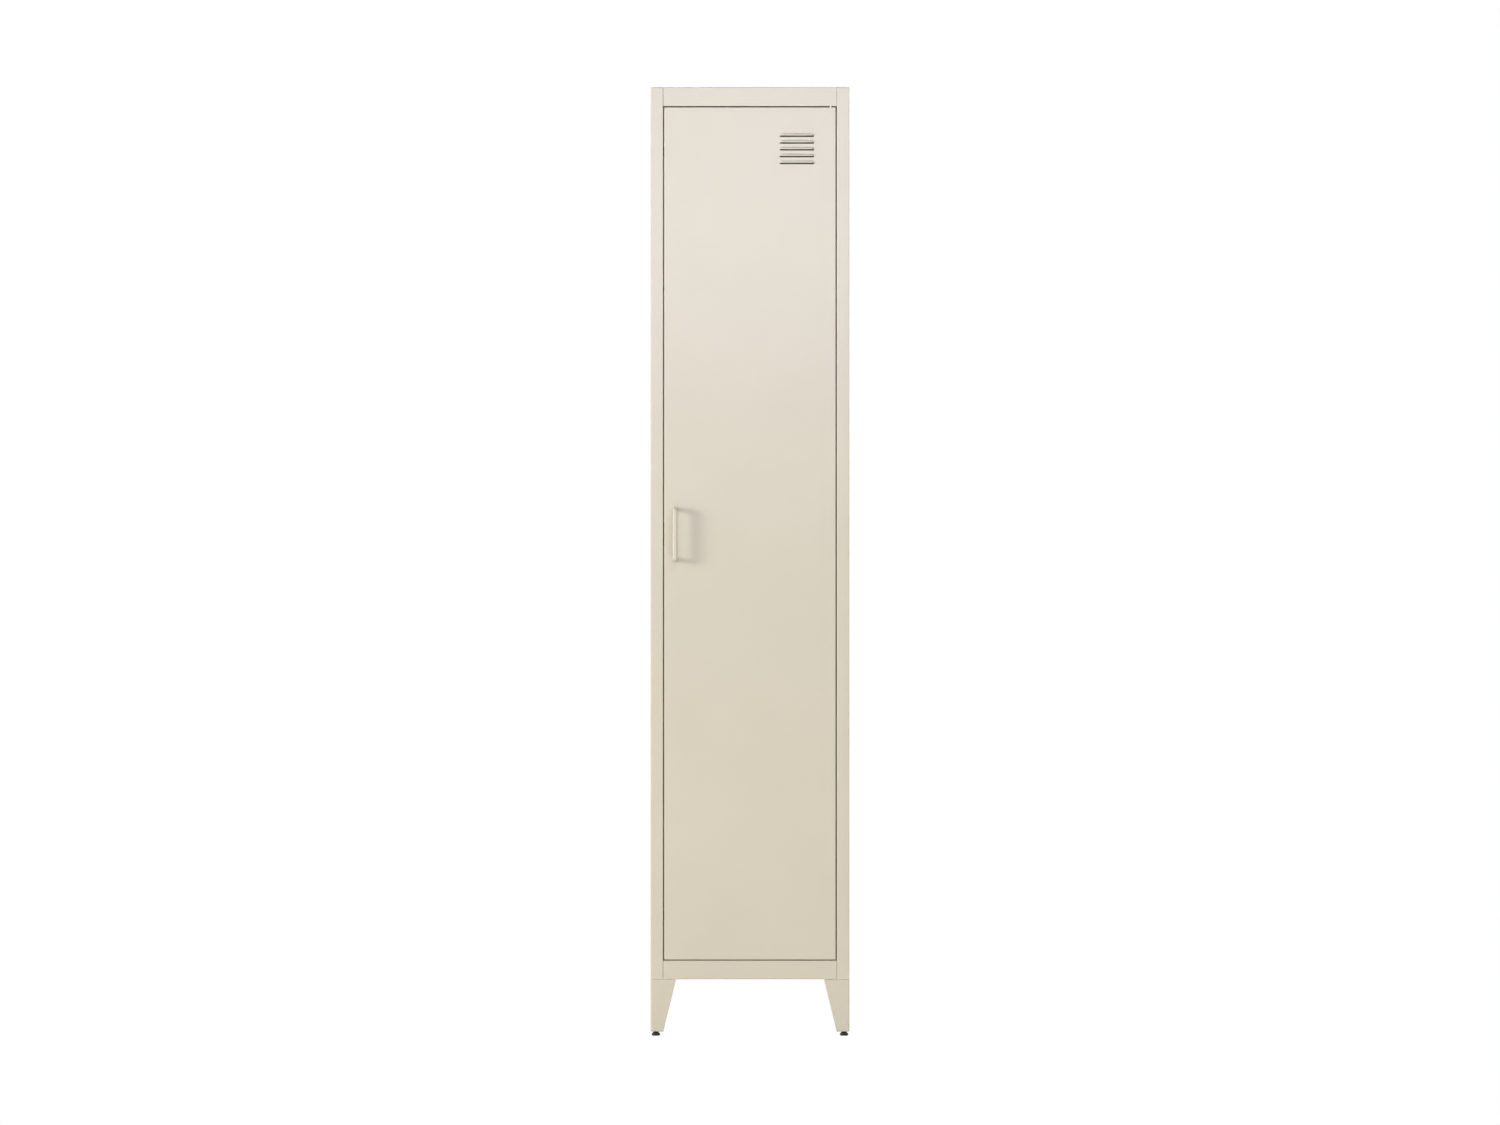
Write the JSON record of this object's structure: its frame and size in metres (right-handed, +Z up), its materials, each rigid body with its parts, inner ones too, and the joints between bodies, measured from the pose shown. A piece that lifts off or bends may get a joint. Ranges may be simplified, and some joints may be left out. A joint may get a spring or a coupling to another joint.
{
  "type": "school locker",
  "caption": "Tall narrow steel locker on splayed tapered legs, with one hinged door, bow handle, pressed louvres, shelves and a hanging rail.",
  "frame": {"origin": "middle of the footprint of the whole locker with its handle, on the floor under the feet", "axes": "+Z up, the front faces -Y, +X to the right of a person facing the front"},
  "size_m": [0.38, 0.478, 1.813],
  "materials": {
    "body_paint": "satin powder coat",
    "zinc_steel": "bright zinc plated",
    "spring_steel": "drawn spring wire",
    "black_nylon": "moulded",
    "black_rubber": "moulded",
    "ferrite": "sintered"
  },
  "bodies": {
    "carcass": {"side_panel_left": "body_paint", "side_panel_right": "body_paint", "top_panel": "body_paint", "bottom_panel": "body_paint", "back_panel": "body_paint", "upper_shelf": "body_paint", "lower_shelf": "body_paint", "shelf_clip_upper_front_left": "zinc_steel", "shelf_clip_upper_front_right": "zinc_steel", "shelf_clip_upper_rear_left": "zinc_steel", "shelf_clip_upper_rear_right": "zinc_steel", "shelf_clip_lower_front_left": "zinc_steel", "shelf_clip_lower_front_right": "zinc_steel", "shelf_clip_lower_rear_left": "zinc_steel", "shelf_clip_lower_rear_right": "zinc_steel", "hanging_rail": "zinc_steel", "rail_socket_left": "zinc_steel", "rail_socket_right": "zinc_steel", "leg_front_left": "body_paint", "leg_front_right": "body_paint", "leg_rear_left": "body_paint", "leg_rear_right": "body_paint", "leg_bolt_front_left": "zinc_steel", "leg_bolt_front_right": "zinc_steel", "leg_bolt_rear_left": "zinc_steel", "leg_bolt_rear_right": "zinc_steel", "leg_nut_front_left": "zinc_steel", "leg_nut_front_right": "zinc_steel", "leg_nut_rear_left": "zinc_steel", "leg_nut_rear_right": "zinc_steel", "foot_nut_front_left": "zinc_steel", "foot_nut_front_right": "zinc_steel", "foot_nut_rear_left": "zinc_steel", "foot_nut_rear_right": "zinc_steel", "catch_housing": "black_nylon", "catch_magnet": "ferrite", "door_stop_upper": "black_rubber", "door_stop_lower": "black_rubber", "hinge_bush_upper": "black_nylon", "hinge_bush_lower": "black_nylon", "door_glide": "black_nylon"},
    "door": {"door_panel": "body_paint", "door_stiffener": "body_paint", "handle": "body_paint", "handle_screw_upper": "zinc_steel", "handle_screw_lower": "zinc_steel", "hinge_bracket": "zinc_steel", "hinge_pin_lower": "zinc_steel", "hinge_spring": "spring_steel"},
    "upper_pin": {"hinge_pin_upper": "zinc_steel"},
    "foot_front_left": {"foot_pad_front_left": "black_nylon", "foot_stud_front_left": "zinc_steel"},
    "foot_front_right": {"foot_pad_front_right": "black_nylon", "foot_stud_front_right": "zinc_steel"},
    "foot_rear_left": {"foot_pad_rear_left": "black_nylon", "foot_stud_rear_left": "zinc_steel"},
    "foot_rear_right": {"foot_pad_rear_right": "black_nylon", "foot_stud_rear_right": "zinc_steel"}
  },
  "joints": [
    {"name": "door_hinge", "type": "hinge", "parent": "carcass", "child": "door", "pos_m": [0.1547, -0.2058, 0.95995], "axis": [0, 0, 1], "range_deg": [0, 120]},
    {"name": "upper_pin_slide", "type": "slide", "parent": "door", "child": "upper_pin", "axis": [0, 0, -1], "range_m": [0, 0.008], "stiffness_N_per_m": 600, "springref_m": -0.006, "deforming": ["hinge_spring"]},
    {"name": "foot_front_left_level", "type": "slide", "parent": "carcass", "child": "foot_front_left", "axis": [0, 0, -1], "range_m": [0, 0.012]},
    {"name": "foot_front_right_level", "type": "slide", "parent": "carcass", "child": "foot_front_right", "axis": [0, 0, -1], "range_m": [0, 0.012]},
    {"name": "foot_rear_left_level", "type": "slide", "parent": "carcass", "child": "foot_rear_left", "axis": [0, 0, -1], "range_m": [0, 0.012]},
    {"name": "foot_rear_right_level", "type": "slide", "parent": "carcass", "child": "foot_rear_right", "axis": [0, 0, -1], "range_m": [0, 0.012]}
  ]
}
